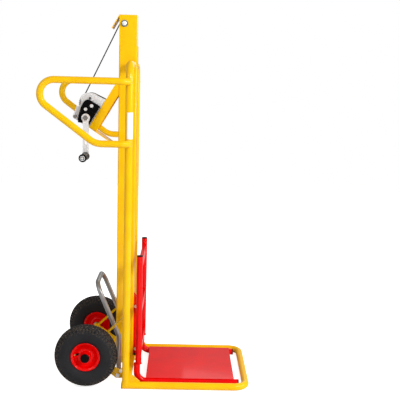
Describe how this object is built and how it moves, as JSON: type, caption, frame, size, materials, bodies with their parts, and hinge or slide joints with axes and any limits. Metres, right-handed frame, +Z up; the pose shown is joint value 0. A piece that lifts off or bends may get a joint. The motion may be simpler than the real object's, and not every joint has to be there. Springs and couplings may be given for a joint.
{
  "type": "lifting sack truck",
  "caption": "Two-wheeled sack truck with a central mast, a hand winch and rope that raise a red fork carriage, loop handles and a folding rear stand.",
  "frame": {"origin": "on the floor, under the middle of the whole truck's plan outline", "axes": "+X towards the load, +Y to the left of a user standing behind the handles, +Z up"},
  "size_m": [0.87, 0.583, 1.527],
  "materials": {
    "yellow_paint": "gloss",
    "red_paint": "gloss",
    "zinc": "zinc plated",
    "bearing_steel": "machined",
    "wire_rope": "stranded",
    "tyre": "matte",
    "black_plastic": "matte"
  },
  "bodies": {
    "frame": {"mast": "yellow_paint", "mast_head": "yellow_paint", "column_left": "yellow_paint", "column_right": "yellow_paint", "base_frame": "yellow_paint", "base_plugs": "black_plastic", "heel_gussets": "yellow_paint", "cross_members": "yellow_paint", "wheel_brackets": "yellow_paint", "axle_struts": "yellow_paint", "stub_axles": "yellow_paint", "handle_left": "yellow_paint", "handle_right": "yellow_paint", "winch_bracket": "yellow_paint", "winch_brace": "yellow_paint", "winch_frame": "zinc", "winch_ties": "zinc", "winch_bolts": "zinc", "gear_cover": "black_plastic", "pulley_bolt": "zinc", "stand_pins": "zinc", "rope_to_drum": "wire_rope", "rope_over_pulley": "wire_rope", "rope_in_mast": "wire_rope"},
    "wheel_left": {"tyre_left": "tyre", "rim_left": "red_paint", "wheel_web_left": "red_paint", "wheel_hub_left": "red_paint", "wheel_bearings_left": "bearing_steel", "hub_cap_left": "black_plastic"},
    "wheel_right": {"wheel_web_right": "red_paint", "wheel_hub_right": "red_paint", "tyre_right": "tyre", "rim_right": "red_paint", "wheel_bearings_right": "bearing_steel", "hub_cap_right": "black_plastic"},
    "drum": {"drum": "zinc", "drum_gear": "bearing_steel", "rope_winding": "wire_rope"},
    "crank": {"pinion_shaft": "bearing_steel", "brake_disc": "bearing_steel", "crank_arm": "zinc", "crank_nut": "zinc", "grip_pin": "zinc"},
    "grip": {"crank_grip": "black_plastic"},
    "pulley": {"top_pulley": "zinc"},
    "carriage": {"fork_left": "red_paint", "fork_right": "red_paint", "carriage_uprights": "red_paint", "carriage_crossbars": "red_paint", "carriage_plugs": "black_plastic", "load_plate": "red_paint", "runner_cheeks": "red_paint", "runner_bolts": "zinc", "runner_pins": "zinc"},
    "upper_rollers": {"upper_rollers": "black_plastic"},
    "lower_rollers": {"lower_rollers": "black_plastic"},
    "front_rollers": {"front_rollers": "black_plastic"},
    "stand": {"stand_loop": "zinc"}
  },
  "joints": [
    {"name": "carriage_lift", "type": "slide", "parent": "frame", "child": "carriage", "axis": [0, 0, 1], "range_m": [0, 1], "deforming": ["rope_in_mast"]},
    {"name": "drum_spin", "type": "hinge", "parent": "frame", "child": "drum", "pos_m": [-0.25962, 0, 1.16111], "axis": [0, 1, 0], "range_deg": [-1554, 0]},
    {"name": "crank_turn", "type": "hinge", "parent": "frame", "child": "crank", "pos_m": [-0.2693, 0, 1.10443], "axis": [0, 1, 0], "range_deg": [0, 4393]},
    {"name": "pulley_spin", "type": "hinge", "parent": "frame", "child": "pulley", "pos_m": [-0.1165, 0, 1.492], "axis": [0, 1, 0], "range_deg": [-2734, 0]},
    {"name": "grip_spin", "type": "hinge", "parent": "crank", "child": "grip", "pos_m": [-0.2693, 0, 0.94643], "axis": [0, 1, 0], "continuous": true},
    {"name": "wheel_left_spin", "type": "hinge", "parent": "frame", "child": "wheel_left", "pos_m": [-0.246, 0.216, 0.1345], "axis": [0, 1, 0], "continuous": true},
    {"name": "wheel_right_spin", "type": "hinge", "parent": "frame", "child": "wheel_right", "pos_m": [-0.246, -0.216, 0.1345], "axis": [0, 1, 0], "continuous": true},
    {"name": "upper_rollers_spin", "type": "hinge", "parent": "carriage", "child": "upper_rollers", "pos_m": [-0.1005, 0, 0.3], "axis": [0, 1, 0], "range_deg": [0, 1681]},
    {"name": "lower_rollers_spin", "type": "hinge", "parent": "carriage", "child": "lower_rollers", "pos_m": [-0.1005, 0, 0.104], "axis": [0, 1, 0], "range_deg": [-1681, 0]},
    {"name": "front_rollers_spin", "type": "hinge", "parent": "carriage", "child": "front_rollers", "pos_m": [-0.0477, 0, 0.066], "axis": [0, 1, 0], "range_deg": [-3825, 0]},
    {"name": "stand_swing", "type": "hinge", "parent": "frame", "child": "stand", "pos_m": [-0.119, 0, 0.032], "axis": [0, -1, 0], "range_deg": [0, 60]}
  ],
  "couplings": [
    {"joint": "drum_spin", "follows": "carriage_lift", "rad_per_m": -27.027},
    {"joint": "crank_turn", "follows": "carriage_lift", "rad_per_m": 76.577},
    {"joint": "pulley_spin", "follows": "carriage_lift", "rad_per_m": -47.619},
    {"joint": "upper_rollers_spin", "follows": "carriage_lift", "rad_per_m": 29.24},
    {"joint": "lower_rollers_spin", "follows": "carriage_lift", "rad_per_m": -29.24},
    {"joint": "front_rollers_spin", "follows": "carriage_lift", "rad_per_m": -66.667}
  ]
}
